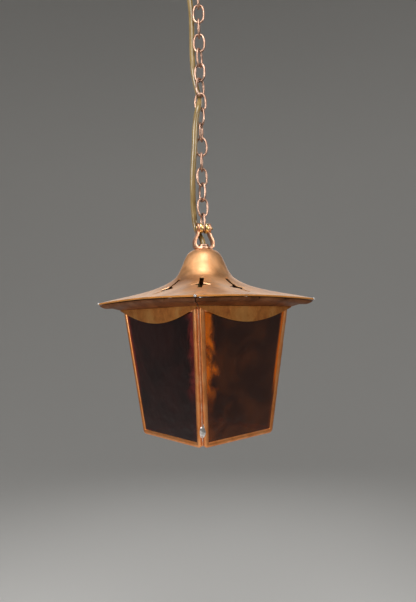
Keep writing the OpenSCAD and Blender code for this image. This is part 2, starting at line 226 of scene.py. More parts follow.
class Shader:
    """Short ways to wire a material's nodes."""

    def __init__(self, name):
        self.material = bpy.data.materials.new(name)
        self.material.use_nodes = True
        self.tree = self.material.node_tree
        self.bsdf = self.tree.nodes["Principled BSDF"]
        self.place = self.tree.nodes.new("ShaderNodeTexCoord").outputs["Object"]

    def set(self, **values):
        for name, value in values.items():
            self.bsdf.inputs[name.replace("_", " ")].default_value = value
        return self

    def link(self, source, target):
        self.tree.links.new(source, target)

    def scaled(self, scale=(1, 1, 1), turn=0):
        mapping = self.tree.nodes.new("ShaderNodeMapping")
        mapping.inputs["Scale"].default_value = scale
        mapping.inputs["Rotation"].default_value = (0, 0, math.radians(turn))
        self.link(self.place, mapping.inputs["Vector"])
        return mapping.outputs["Vector"]

    def noise(self, scale, detail=4, rough=0.55, distortion=0.0, where=None):
        node = self.tree.nodes.new("ShaderNodeTexNoise")
        node.inputs["Scale"].default_value = scale
        node.inputs["Detail"].default_value = detail
        node.inputs["Roughness"].default_value = rough
        node.inputs["Distortion"].default_value = distortion
        self.link(where or self.place, node.inputs["Vector"])
        return node.outputs["Fac"]

    def cells(self, scale):
        node = self.tree.nodes.new("ShaderNodeTexVoronoi")
        node.feature = "SMOOTH_F1"
        node.inputs["Scale"].default_value = scale
        self.link(self.place, node.inputs["Vector"])
        return node.outputs["Distance"]

    def ramp(self, source, stops):
        node = self.tree.nodes.new("ShaderNodeValToRGB")
        while len(node.color_ramp.elements) < len(stops):
            node.color_ramp.elements.new(0.5)
        for element, (place, color) in zip(node.color_ramp.elements, stops):
            element.position = place
            element.color = (*color, 1)
        self.link(source, node.inputs["Fac"])
        return node.outputs["Color"]

    def range(self, source, low, high, to_low, to_high):
        node = self.tree.nodes.new("ShaderNodeMapRange")
        for socket, value in zip(("From Min", "From Max", "To Min", "To Max"), (low, high, to_low, to_high)):
            node.inputs[socket].default_value = value
        self.link(source, node.inputs["Value"])
        return node.outputs["Result"]

    def mix(self, factor, a, b):
        node = self.tree.nodes.new("ShaderNodeMix")
        node.data_type = "RGBA"
        for value, socket in ((factor, node.inputs[0]), (a, node.inputs[6]), (b, node.inputs[7])):
            if isinstance(value, bpy.types.NodeSocket):
                self.link(value, socket)
            else:
                socket.default_value = value if isinstance(value, float) else (*value, 1)
        return node.outputs[2]

    def math(self, operation, a, b=0.0):
        node = self.tree.nodes.new("ShaderNodeMath")
        node.operation = operation
        for value, socket in ((a, node.inputs[0]), (b, node.inputs[1])):
            if isinstance(value, bpy.types.NodeSocket):
                self.link(value, socket)
            else:
                socket.default_value = value
        return node.outputs["Value"]

    def bump(self, height, strength, distance, onto=None):
        node = self.tree.nodes.new("ShaderNodeBump")
        node.inputs["Strength"].default_value = strength
        node.inputs["Distance"].default_value = distance
        self.link(height, node.inputs["Height"])
        if onto:
            self.link(onto, node.inputs["Normal"])
        return node.outputs["Normal"]

    def color(self, source):
        self.link(source, self.bsdf.inputs["Base Color"])

    def roughness(self, source):
        self.link(source, self.bsdf.inputs["Roughness"])

    def normal(self, source):
        self.link(source, self.bsdf.inputs["Normal"])


def aged_metal(name, dark, middle, light, rough=(0.32, 0.5), patch=35, fleck=420, spots=0.25, dents=0.12):
    """Metal with cloudy tarnish, small dark flecks, fine scratches and slight dents."""
    s = Shader(name).set(Metallic=1.0)
    cloud = s.noise(patch, 6, 0.6, 0.4)
    tint = s.ramp(cloud, [(0.32, dark), (0.5, middle), (0.68, light)])
    small = s.noise(fleck, 5, 0.7)
    dots = s.range(small, 0.58, 0.72, 0.0, spots)
    s.color(s.mix(dots, tint, [c * 0.42 for c in dark]))
    scratch = s.noise(260, 3, 0.6, 0, s.scaled((1, 1, 0.12)))
    wear = s.math("ADD", s.math("MULTIPLY", cloud, 0.6), s.math("MULTIPLY", scratch, 0.4))
    s.roughness(s.range(wear, 0.35, 0.65, rough[1], rough[0]))
    dent = s.bump(s.noise(70, 2, 0.5), dents, 0.6 * MM)
    s.normal(s.bump(s.noise(1400, 4, 0.65), 0.16, 0.12 * MM, dent))
    return s.material


def roof_metal():
    """Lacquered satin copper. The rolled edge is tinted bright orange, partly rubbed wear and partly a
    painted highlight, the brim is streaked with grey, and faces turned downwards get painted shade.
    """
    s = Shader("roof_copper").set(Metallic=1.0, Coat_Weight=0.25, Coat_Roughness=0.14)
    cloud = s.noise(26, 7, 0.62, 0.5)
    tint = s.ramp(cloud, [
        (0.30, (0.46, 0.21, 0.085)), (0.48, (0.68, 0.35, 0.155)),
        (0.60, (0.80, 0.44, 0.21)), (0.74, (0.90, 0.57, 0.32)),
    ])
    split = s.tree.nodes.new("ShaderNodeSeparateXYZ")
    s.link(s.scaled((1, 1, 1), 45), split.inputs["Vector"])
    out = s.math("MAXIMUM", s.math("ABSOLUTE", split.outputs["X"]), s.math("ABSOLUTE", split.outputs["Y"]))
    streak = s.noise(60, 5, 0.65, 0.8, s.scaled((1, 1, 0.35)))
    brim = s.range(out, 28 * MM, 55 * MM, 0.25, 1.0)
    grime = s.math("MULTIPLY", s.range(streak, 0.45, 0.72, 0.0, 0.6), brim)
    tint = s.mix(grime, tint, (0.42, 0.32, 0.23))
    dots = s.range(s.noise(380, 5, 0.7), 0.60, 0.72, 0.0, 0.45)
    tint = s.mix(dots, tint, (0.16, 0.09, 0.05))
    # Painted shade: faces that turn downwards, under the roof and its rolled edge, are darkened to a
    # near-black brown
    facing = s.tree.nodes.new("ShaderNodeSeparateXYZ")
    s.link(s.tree.nodes.new("ShaderNodeNewGeometry").outputs["Normal"], facing.inputs["Vector"])
    painted_underside_shade = s.range(facing.outputs["Z"], -0.25, -0.05, 0.9, 0.0)
    tint = s.mix(painted_underside_shade, tint, (0.09, 0.05, 0.035))
    # The rolled edge is tinted bright orange: partly rubbed wear, partly a painted highlight of the fold
    # catching the light
    ragged = s.math("ADD", out, s.math("MULTIPLY", s.noise(240, 4), 1.4 * MM))
    edge = s.range(ragged, HALF_SIDE - 1.0 * MM, HALF_SIDE + 0.2 * MM, 0.0, 1.0)
    s.color(s.mix(edge, tint, (0.78, 0.34, 0.08)))
    wear = s.noise(90, 6, 0.6, 0.3)
    s.roughness(s.range(wear, 0.35, 0.65, 0.60, 0.47))
    dent = s.bump(s.noise(42, 2, 0.5), 0.28, 0.9 * MM)
    s.normal(s.bump(s.noise(1200, 4, 0.65), 0.14, 0.12 * MM, dent))
    return s.material


def amber_glass(name, deep, glow, turn, side, painted_glow_tint, strength):
    """Thick streaky glass. Its colour drifts between two tints, with a painted glow of a third down its
    edges, standing for light that shines through the lantern.
    """
    s = Shader(name).set(Metallic=0.0, IOR=1.5, Specular_IOR_Level=0.2)
    tint = s.ramp(s.noise(24, 5, 0.55, 0.9), [(0.41, deep), (0.71, glow)])
    split = s.tree.nodes.new("ShaderNodeSeparateXYZ")
    s.link(s.scaled((1, 1, 1), turn), split.inputs["Vector"])
    height = split.outputs["Z"]
    across = s.math("MULTIPLY", split.outputs["X"], side)
    # Painted glow: a wavy band inside one channel and a thin line inside the other, fading towards the
    # bottom, as strong as strength
    half = s.range(height, BODY_BOTTOM_Z, BODY_TOP_Z, REACH_BOTTOM - CHANNEL_W, REACH_TOP - CHANNEL_W)
    wavy = s.math("MULTIPLY", s.math("SUBTRACT", s.noise(38, 5, 0.6, 0.8), 0.5), 46 * MM)
    broad = s.range(s.math("ADD", s.math("SUBTRACT", half, across), wavy), 6 * MM, 17 * MM, strength, 0.0)
    thin = s.range(s.math("ADD", half, across), 5.5 * MM, 9 * MM, strength, 0.0)
    upper = s.range(height, BODY_BOTTOM_Z + 45 * MM, BODY_BOTTOM_Z + 70 * MM, 0.15, 1.0)
    painted_glow_mask = s.math("MULTIPLY", s.math("MAXIMUM", broad, thin), upper)
    tint = s.mix(painted_glow_mask, tint, painted_glow_tint)
    # Where the painted glow is, the glass lets less light through so that its painted colour shows
    s.link(s.range(painted_glow_mask, 0.0, 1.0, 0.82, 0.4), s.bsdf.inputs["Transmission Weight"])
    dust = s.range(s.noise(420, 2, 0.5), 0.74, 0.78, 0.0, 0.35)
    s.color(s.mix(dust, tint, (0.55, 0.48, 0.40)))
    s.roughness(s.range(s.noise(150, 3), 0.4, 0.7, 0.07, 0.2))
    ripple = s.bump(s.cells(170), 0.35, 0.5 * MM)
    s.normal(s.bump(s.noise(520, 3, 0.6), 0.15, 0.2 * MM, ripple))
    return s.material


def flex_sheath():
    s = Shader("flex_sheath").set(Metallic=0.0, IOR=1.46, Coat_Weight=0.4, Coat_Roughness=0.14)
    cloud = s.noise(60, 5, 0.6)
    tint = s.ramp(cloud, [
        (0.3, (0.13, 0.08, 0.025)), (0.52, (0.20, 0.13, 0.042)), (0.72, (0.27, 0.18, 0.065)),
    ])
    grime = s.range(s.noise(500, 5, 0.7), 0.58, 0.74, 0.0, 0.35)
    s.color(s.mix(grime, tint, (0.10, 0.06, 0.025)))
    s.roughness(s.range(s.noise(140, 4), 0.3, 0.7, 0.24, 0.38))
    s.normal(s.bump(s.noise(900, 3), 0.10, 0.12 * MM))
    return s.material


def smooth_plastic(name, color):
    s = Shader(name).set(Metallic=0.0)
    s.color(s.ramp(s.noise(90, 4), [(0.35, [c * 0.86 for c in color]), (0.65, color)]))
    s.roughness(s.range(s.noise(300, 4), 0.3, 0.7, 0.25, 0.4))
    s.normal(s.bump(s.noise(1200, 3), 0.08, 0.1 * MM))
    return s.material


def clear_glass():
    s = Shader("clear_glass").set(Metallic=0.0, IOR=1.45, Transmission_Weight=1.0)
    s.color(s.ramp(s.noise(60, 3), [(0.3, (0.96, 0.95, 0.93)), (0.7, (1.0, 1.0, 0.99))]))
    s.roughness(s.range(s.noise(200, 3), 0.3, 0.7, 0.02, 0.05))
    return s.material


def plain_stage(name, color):
    s = Shader(name).set(Metallic=0.0, Roughness=0.9)
    s.bsdf.inputs["Base Color"].default_value = (*color, 1)
    return s.material


# Dark, middle and light tint of each metal, then what differs from aged_metal's usual look
METALS = {
    "copper": ((0.34, 0.16, 0.09), (0.62, 0.32, 0.19), (0.78, 0.47, 0.31), {}),
    "bright_copper": (
        (0.60, 0.20, 0.055), (0.84, 0.31, 0.10), (0.92, 0.44, 0.19),
        {"rough": (0.3, 0.44), "patch": 45, "fleck": 500, "spots": 0.18}),
    # The soffit's copper is the eaves sheet's copper painted dark: painted shade under the eaves
    "soffit_copper": (
        (0.12, 0.042, 0.014), (0.23, 0.08, 0.026), (0.32, 0.125, 0.044),
        {"rough": (0.38, 0.54), "patch": 45, "fleck": 300, "spots": 0.4}),
    "apron_copper": (
        (0.40, 0.13, 0.034), (0.68, 0.26, 0.066), (0.84, 0.40, 0.12),
        {"rough": (0.3, 0.46), "patch": 60, "fleck": 300, "spots": 0.4}),
    "chain_copper": (
        (0.17, 0.11, 0.085), (0.44, 0.26, 0.18), (0.62, 0.41, 0.31),
        {"rough": (0.34, 0.5), "patch": 140, "fleck": 700, "spots": 0.2}),
    "brass": (
        (0.50, 0.32, 0.10), (0.80, 0.57, 0.22), (0.92, 0.73, 0.38), {"rough": (0.2, 0.38), "patch": 90}),
    "dull_brass": (
        (0.32, 0.22, 0.09), (0.54, 0.39, 0.18), (0.70, 0.53, 0.29), {"rough": (0.3, 0.5), "patch": 90}),
    "zinc": (
        (0.38, 0.38, 0.37), (0.58, 0.58, 0.57), (0.72, 0.72, 0.71), {"rough": (0.25, 0.42), "patch": 90}),
    "solder": (
        (0.40, 0.38, 0.36), (0.66, 0.64, 0.62), (0.88, 0.87, 0.85), {"rough": (0.2, 0.4), "patch": 160}),
    "seam": (
        (0.44, 0.15, 0.05), (0.70, 0.28, 0.12), (0.80, 0.42, 0.25),
        {"rough": (0.34, 0.5), "patch": 130, "fleck": 500, "spots": 0.3, "dents": 0.3}),
}
MAT = {"roof_copper": roof_metal()}
for metal, (dark, middle, light, look) in METALS.items():
    MAT[metal] = aged_metal(metal, dark, middle, light, **look)
# One glass in two copies: the front-left and back-right panes get dark tints as painted shade, the
# front-right and back-left panes light tints and a strong painted glow as painted light
MAT["shaded_glass"] = amber_glass(
    "shaded_glass", (0.024, 0.005, 0.005), (0.060, 0.012, 0.010), 45, 1, (0.20, 0.022, 0.016), 0.8)
MAT["lit_glass"] = amber_glass(
    "lit_glass", (0.085, 0.018, 0.004), (0.24, 0.058, 0.009), -45, -1, (0.95, 0.21, 0.006), 0.85)
MAT["clear_glass"] = clear_glass()
MAT["flex_sheath"] = flex_sheath()
MAT["white_plastic"] = smooth_plastic("white_plastic", (0.80, 0.79, 0.74))


# ---------------------------------------------------------------- flex

FLEX_D = 6.8 * MM
# The same line as the flex in part.scad, in millimetres
FLEX_ROUTE = [
    (-22, 4, -20), (-22, 4, -32), (-22, 4, -44), (-20.4, 4.4, -62), (-16, 5.4, -82), (-11.4, 6.2, -103),
    (-9.4, 6.6, -124), (-9.2, 6.8, -145), (-9.4, 7, -165), (-9.2, 7.2, -182), (-8.2, 7.7, -196),
    (-6.6, 8.7, -207.5), (-4.8, 9.4, -216.5), (-2.9, 8.7, -224.6), (-1.6, 5.8, -231.6), (-1.3, 0, -238.5),
    (-1.9, -5.8, -245.4), (-3.3, -8.7, -252.6), (-4.9, -9.4, -261), (-6.2, -9, -271), (-7, -8.2, -281),
    (-7.6, -7.4, -292), (-8.6, -6.4, -304), (-9.8, -5, -317), (-10.8, -3, -330), (-11.4, -0.4, -343),
    (-11.6, 2.4, -354.5), (-11.7, 4.8, -364), (-11.3, 6.6, -373), (-10.9, 7.8, -381), (-10.1, 8.4, -387),
    (-8.9, 8.4, -392.5), (-6.9, 7.8, -397.5), (-4.3, 6.2, -402), (-2.4, 3.9, -406), (-1.1, 1.7, -410),
    (-0.3, 0.5, -414), (-0.1, 0.1, -416.3), (0, 0, -418.5), (0, 0, -425), (0, 0, -431.5), (0, 0, -438),
]
BODIES = ["ceiling"] + ["chain_run_%d" % i for i in range(1, 7)] + ["lantern"]


def middle_of(body):
    """Height half way along a run of chain."""
    links = frame["record"]["behaviour"]["bodies"][body]
    boxes = [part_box(link) for link in links]
    return (min(low.z for low, high in boxes) + max(high.z for low, high in boxes)) / 2


def add_flex():
    """The flex, in pieces that each run across one of the chain's joints."""
    line = smooth_path([Vector(p) * MM for p in FLEX_ROUTE], 2 * MM)
    cuts = [line[0].z] + [middle_of(body) for body in BODIES[1:-1]] + [line[-1].z]
    marks = [min(range(len(line)), key=lambda i: abs(line[i].z - z)) for z in cuts]
    for number, (first, last) in enumerate(zip(marks, marks[1:])):
        path = line[first:last + 1]
        piece = tube("flex_%d" % (number + 1), path, FLEX_D / 2, 24, MAT["flex_sheath"])
        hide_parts("flex")
        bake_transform(piece)


# ---------------------------------------------------------------- roof

HOLE_R = 5.2 * MM
ROUND_TO = 34 * MM
SHEET_T = 1 * MM
VENT_MIDDLE = 56 * MM
VENT_LEN = 38 * MM
VENT_W = 5 * MM
VENT_SPAN = 22 * MM
DOME_CURVE = [
    (HOLE_R, DOME_H), (20.5 * MM, DOME_H), (22.5 * MM, DOME_H - 11.5 * MM), (27 * MM, DOME_H - 21.5 * MM)]
FLARE_CURVE = [
    (27 * MM, DOME_H - 21.5 * MM), (31.5 * MM, DOME_H - 32.5 * MM), (40.5 * MM, 13 * MM),
    (HALF_SIDE - HEM_R, EAVES_ARCH + HEM_R)]


def curve_point(p, t):
    share = ((1 - t) ** 3, 3 * (1 - t) ** 2 * t, 3 * (1 - t) * t * t, t ** 3)
    return tuple(sum(w * q[k] for w, q in zip(share, p)) for k in (0, 1))


def inside_point(p, t, by):
    x, z = curve_point(p, t)
    share = ((1 - t) ** 2, 2 * (1 - t) * t, t * t)
    slope = [sum(w * (b[k] - a[k]) for w, a, b in zip(share, p, p[1:])) for k in (0, 1)]
    size = math.hypot(*slope)
    return x + by * slope[1] / size, z - by * slope[0] / size


def reach(rho, angle):
    """Radius at an angle of a plan ring: round near the dome and square at the eaves."""
    out = min(1, max(0, (rho - ROUND_TO) / (HALF_SIDE - ROUND_TO)))
    share = math.sin(math.pi / 2 * out)
    power = 2 / max(0.001, 1 - share)
    big = max(abs(math.cos(angle)), abs(math.sin(angle)))
    little = min(abs(math.cos(angle)), abs(math.sin(angle)))
    return rho / big / (1 + (little / big) ** power) ** (1 / power)


def vent_lip(r, angle):
    """How far the sheet was pushed up beside the vent in the middle of a face when it was punched."""
    off = math.remainder(angle, math.pi / 2) * r
    along = (r - VENT_MIDDLE) / (VENT_LEN / 2)
    return 0.45 * MM * math.exp(-((abs(off) - 2.6 * MM) / (1.7 * MM)) ** 2) * math.exp(-along ** 4)


def roof_point(x, z, angle):
    r = reach(x, angle)
    corner = (r / x - 1) / (math.sqrt(2) - 1)
    drop = EAVES_ARCH * corner * (x / HALF_SIDE) ** 6
    height = EAVES_Z + z - drop + vent_lip(r, angle)
    return Vector((r * math.cos(angle + math.pi / 4), r * math.sin(angle + math.pi / 4), height))


def roof_angles(per_quarter):
    """Angles crowded towards the corners, where the ridge is sharp."""
    for quarter in range(4):
        for i in range(per_quarter):
            t = i / per_quarter * 2 - 1
            yield math.pi / 2 * quarter + math.pi / 4 * (1.5 * t - 0.5 * t ** 3)


def vent_cutter(turn):
    """Solid cross that cuts one vent: a slot down the slope with a thin pointed bar across it."""
    w, span, mid = VENT_W / 2, VENT_SPAN / 2, VENT_MIDDLE
    root, tip = 5 * MM, 0.6 * MM
    start, end = mid - VENT_LEN / 2, mid + VENT_LEN / 2
    half = [
        (start, -w), (mid - root, -w), (mid - tip, -span), (mid + tip, -span), (mid + root, -w), (end, -w),
    ]
    outline = half + [(x, -y) for x, y in half[::-1]]
    low, high = EAVES_Z + 4 * MM, EAVES_Z + 44 * MM
    n = len(outline)
    verts = [(x, y, z) for z in (low, high) for x, y in outline]
    faces = [tuple(range(n))[::-1], tuple(range(n, 2 * n))]
    faces += [(i, (i + 1) % n, n + (i + 1) % n, n + i) for i in range(n)]
    return turned_about_z(make_object("vent_cutter", verts, faces, smooth=False), turn)


def add_roof():
    profile = [curve_point(DOME_CURVE, i / 18) for i in range(19)]
    profile += [curve_point(FLARE_CURVE, i / 40) for i in range(1, 41)]
    for degrees in range(70, -100, -20):
        a = math.radians(degrees)
        profile.append((HALF_SIDE - HEM_R + HEM_R * math.cos(a), EAVES_ARCH + HEM_R * math.sin(a)))
    profile += [(HALF_SIDE - 4 * MM, EAVES_ARCH - 0.5 * MM), (HALF_SIDE - 7 * MM, EAVES_ARCH + 0.4 * MM)]
    profile += [inside_point(FLARE_CURVE, 0.95 - 0.95 * i / 24, SHEET_T) for i in range(25)]
    profile += [inside_point(DOME_CURVE, 1 - i / 12, SHEET_T) for i in range(1, 13)]
    angles = list(roof_angles(72))
    verts = [roof_point(x, z, a) for a in angles for x, z in profile]
    roof = make_object("roof_shell", verts, grid_faces(len(angles), len(profile), wrap_rows=True))
    for turn in range(0, 360, 45):
        cutter = vent_cutter(turn)
        cut = roof.modifiers.new("vent", "BOOLEAN")
        cut.object = cutter
        cut.solver = "EXACT"
        bake_modifiers(roof)
        bpy.data.objects.remove(cutter)
    dress(roof, MAT["roof_copper"], crease=38)
    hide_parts("roof")
    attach(roof, "lantern")


def add_tip_blobs():
    """A drop of solder over each corner of the roof, where the eaves strips meet."""
    for turn in range(0, 360, 90):
        tip = roof_high.x - 1.6 * MM
        work = bmesh.new()
        bmesh.ops.create_uvsphere(work, u_segments=24, v_segments=16, radius=1.7 * MM)
        for v in work.verts:
            v.co *= 1 + 0.25 * noise.noise(v.co / (1.6 * MM) + Vector((turn, 0, 0)))
            v.co = Vector((v.co.x * 1.3, v.co.y, v.co.z * 0.8)) + Vector((tip, 0, EAVES_Z + 0.4 * MM))
        mesh = bpy.data.meshes.new("corner_solder")
        work.to_mesh(mesh)
        work.free()
        blob = dress(bpy.data.objects.new("corner_solder_%d" % turn, mesh), MAT["solder"])
        turned_about_z(blob, turn)
        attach(blob, "lantern")


# ---------------------------------------------------------------- eaves strips

APRON_H = 17 * MM
APRON_REACH = REACH_TOP + 1.1 * MM
STRIP_T = 0.8 * MM


def soffit_line(share):
    """Lower face of a soffit at a share of its length from the middle, -1 to 1."""
    edge = EAVES_ARCH * (1 - (math.sqrt(1 + share * share) - 1) / (math.sqrt(2) - 1)) - HEM_R - 0.9 * MM
    line = [
        (HALF_SIDE - 1.2 * MM, edge), (HALF_SIDE - 3.4 * MM, edge - 2.2 * MM),
        (HALF_SIDE - 7 * MM, edge - 3.9 * MM), (HALF_SIDE - 12 * MM, -FOLD_DROP + 2.4 * MM),
        (APRON_REACH + 0.9 * MM, -FOLD_DROP + 0.2 * MM), (APRON_REACH - 0.5 * MM, -FOLD_DROP + 0.1 * MM),
    ]
    return [(p.x, p.z) for p in smooth_path([(x, 0, z) for x, z in line], 1.5 * MM)]


def apron_line(share):
    """Outer face of an apron, which bows out slightly above its scalloped edge."""
    drop = 1 * MM + (APRON_H - 1 * MM) * (1 - share ** 2) * (1 - 0.12 * share ** 2)
    line = []
    for i in range(9):
        t = i / 8
        bow = 0.5 * MM * math.sin(math.pi * t) * (1 - share ** 2)
        line.append((APRON_REACH - math.tan(LEAN) * drop * t + bow, -FOLD_DROP - drop * t))
    return line


def add_strip(kind, line_at, corner, turn):
    """A thin sheet swept along one side of the roof, from the line of its outer face."""
    count = 96
    rings = []
    for i in range(count + 1):
        share = math.sin(math.pi / 2 * (2 * i / count - 1))
        line = line_at(share)
        back = []
        for k, (x, z) in enumerate(line):
            ax, az = line[max(0, k - 1)]
            bx, bz = line[min(len(line) - 1, k + 1)]
            size = math.hypot(bx - ax, bz - az)
            back.append((x + STRIP_T * (bz - az) / size, z - STRIP_T * (bx - ax) / size))
        ring = line + back[::-1]
        rings.append([Vector((x, share * (x - 0.6 * MM), EAVES_Z + z)) for x, z in ring])
    size = len(rings[0])
    verts = [p for ring in rings for p in ring]
    faces = grid_faces(len(rings), size)
    faces += [tuple(range(size)), tuple(range((len(rings) - 1) * size, len(rings) * size))[::-1]]
    strip = make_object("%s_sheet_%s" % (kind, corner), verts, faces, MAT[kind + "_copper"], crease=40)
    turned_about_z(strip, turn)
    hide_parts("%s_%s" % (kind, corner))
    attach(strip, "lantern")


# ---------------------------------------------------------------- panes

BOTTOM_ROUND = 5 * MM
TOP_ROUND = 1.2 * MM
GLASS_IN_CHANNEL = 4.5 * MM
GLASS_HALF_T = 1.1 * MM
SEAM_R = 1.4 * MM
BEAD_R = 0.42 * MM


def on_side(turn):
    """Matrix from a pane's own plane (x across, y up the slope, z outwards) to the body's side."""
    lie = Matrix.Rotation(math.pi / 2, 4, "Z") @ Matrix.Rotation(math.pi / 2, 4, "X")
    lean = Matrix.Rotation(LEAN, 4, "Y")
    base = Matrix.Translation((REACH_BOTTOM, 0, BODY_BOTTOM_Z))
    return Matrix.Rotation(math.radians(turn), 4, "Z") @ base @ lean @ lie


def pane_half(y):
    return REACH_BOTTOM + (REACH_TOP - REACH_BOTTOM) * y / PANE_LEN - CHANNEL_T - SLIP


def pane_corners(inset):
    side = inset / math.cos(math.atan((REACH_TOP - REACH_BOTTOM) / PANE_LEN))
    low, high = pane_half(inset) - side, pane_half(PANE_LEN - inset) - side
    return [(-low, inset), (low, inset), (high, PANE_LEN - inset), (-high, PANE_LEN - inset)]


def channel_section():
    """Folded channel with a round face, as (inset from the edge, depth behind the face)."""
    half_w, rise, lip = CHANNEL_W / 2, 2.2 * MM, 0.7 * MM
    face = []
    for i in range(17):
        a = math.pi * i / 16
        face.append((half_w - half_w * math.cos(a), rise - rise * math.sin(a) ** 0.85))
    return face + [
        (CHANNEL_W - 0.15 * MM, rise + 0.2 * MM), (CHANNEL_W - lip, rise + 0.25 * MM),
        (CHANNEL_W - lip, CHANNEL_T - lip), (CHANNEL_W, CHANNEL_T - 0.5 * MM),
        (CHANNEL_W - 0.3 * MM, CHANNEL_T), (0.3 * MM, CHANNEL_T), (0, CHANNEL_T - 0.4 * MM),
    ]


def channel_outline(inset):
    """The outline of a pane at an inset, with rounded corners."""
    corners = [Vector((x, y, 0)) for x, y in pane_corners(inset)]
    steps = 6
    points = []
    for i, corner in enumerate(corners):
        r = max(0.2 * MM, (BOTTOM_ROUND if i < 2 else TOP_ROUND) - inset)
        before = (corners[i - 1] - corner).normalized()
        after = (corners[(i + 1) % 4] - corner).normalized()
        a, b = corner + before * r, corner + after * r
        for k in range(steps + 1):
            t = k / steps
            points.append(a * (1 - t) ** 2 + corner * 2 * t * (1 - t) + b * t * t)
    return points


def add_frame(corner, turn):
    rings = []
    for inset, depth in channel_section():
        rings.append([p + Vector((0, 0, -depth)) for p in channel_outline(inset)])
    verts = [p for ring in rings for p in ring]
    faces = grid_faces(len(rings), len(rings[0]), wrap_rows=True)
    side = make_object("channel_" + corner, verts, faces, MAT["bright_copper"], crease=50)
    side.data.transform(on_side(turn))
    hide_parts("frame_" + corner)
    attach(side, "lantern")


def add_glass(corner, turn, material):
    """A hammered pane: both faces ripple, and the edges are hidden in the channel."""
    across, up = 70, 84
    corners = pane_corners(CHANNEL_W - GLASS_IN_CHANNEL)
    middle = -CHANNEL_T / 2 - 0.2 * MM
    layers = []
    for face in (1, -1):
        points = []
        for j in range(up + 1):
            v = j / up
            y = corners[0][1] * (1 - v) + corners[2][1] * v
            half = corners[1][0] * (1 - v) + corners[2][0] * v
            for i in range(across + 1):
                x = half * (2 * i / across - 1)
                seed = Vector((x, y, face * 0.05 + turn)) / (7 * MM)
                ripple = 0.10 * MM * noise.noise(seed) + 0.16 * MM * noise.noise(seed * 0.4)
                points.append(Vector((x, y, middle + face * (GLASS_HALF_T + ripple - 0.1 * MM))))
        layers.append(points)
    size = across + 1
    count = len(layers[0])
    faces = []
    for j in range(up):
        for i in range(across):
            a = j * size + i
            faces.append((a, a + 1, a + size + 1, a + size))
            faces.append((count + a, count + a + size, count + a + size + 1, count + a + 1))
    rim = [i for i in range(size)] + [j * size + across for j in range(1, up + 1)]
    rim += [up * size + i for i in range(across - 1, -1, -1)] + [j * size for j in range(up - 1, 0, -1)]
    faces += [(a, b, count + b, count + a) for a, b in zip(rim, rim[1:] + rim[:1])]
    pane = make_object("pane_" + corner, layers[0] + layers[1], faces, material, crease=60)
    pane.data.transform(on_side(turn))
    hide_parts("glass_" + corner)
    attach(pane, "lantern")


def add_seams():
    """Tinned copper down each corner between two channels, with a thin line of solder along it."""
    for turn in range(0, 360, 90):
        path = []
        for i in range(61):
            t = 0.02 + 0.98 * i / 60
            z = BODY_BOTTOM_Z + (BODY_TOP_Z - BODY_BOTTOM_Z) * t
            r = (REACH_BOTTOM + (REACH_TOP - REACH_BOTTOM) * t - CHANNEL_T) * math.sqrt(2) + 0.9 * MM
            path.append(Vector((r, 0, z)))

        def lumps(i, a, turn=turn):
            return 1 + 0.22 * noise.noise(Vector((i * 0.31, turn, math.cos(a))))

        seam = tube("seam_%d" % turn, path, SEAM_R, 14, MAT["seam"], shape=lumps)
        turned_about_z(seam, turn)
        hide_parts("solder_seams")
        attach(seam, "lantern")
        bead_path = []
        for i, point in enumerate(path[2:-3]):
            sway = 0.35 * MM * noise.noise(Vector((i * 0.17, turn, 3)))
            bead_path.append(point + Vector((1.2 * MM, sway, 0)))

        def swells(i, a, turn=turn):
            patch = 0.5 * max(0, 2.2 * noise.noise(Vector((i * 0.23, turn, 9))) - 0.1)
            return 0.15 + max(patch, 0.8 - i * 0.045, 0)

        bead = tube("solder_bead_%d" % turn, bead_path, BEAD_R, 10, MAT["solder"], shape=swells)
        turned_about_z(bead, turn)
        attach(bead, "lantern")


def add_solder_drop():
    """A drop of solder that has run down the front corner and set near its bottom."""
    work = bmesh.new()
    bmesh.ops.create_uvsphere(work, u_segments=28, v_segments=20, radius=1)
    half_w, half_t, half_h = 4 * MM, 1.9 * MM, 7.6 * MM
    drop_z = BODY_BOTTOM_Z + 18.5 * MM
    drop_r = (REACH_BOTTOM + 0.7 * MM - CHANNEL_T) * math.sqrt(2) + 2.6 * MM
    for v in work.verts:
        v.co *= 1 + 0.22 * noise.noise(v.co * 1.3)
        narrow = 1 - 0.6 * max(0, v.co.z)
        v.co = Vector((v.co.x * half_w * narrow, v.co.y * half_t, v.co.z * half_h))
        v.co = Matrix.Rotation(math.radians(9), 3, "Y") @ v.co
        v.co = Matrix.Rotation(math.radians(8), 3, "X") @ v.co + Vector((0.4 * MM, -drop_r, drop_z))
    mesh = bpy.data.meshes.new("solder_drop")
    work.to_mesh(mesh)
    work.free()
    drop = dress(bpy.data.objects.new("solder_drop", mesh), MAT["solder"])
    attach(drop, "lantern")


# ---------------------------------------------------------------- chain

WIRE_R = 1.4 * MM
LINK_W = 15.6 * MM
# Turn of each link about the chain, as in part.scad
LINK_TURN = [90, 0, 90, 0, 90, 0, 69, -22, 51, 0, -50, -100, 0, 90, 33, 126, 28, 112]


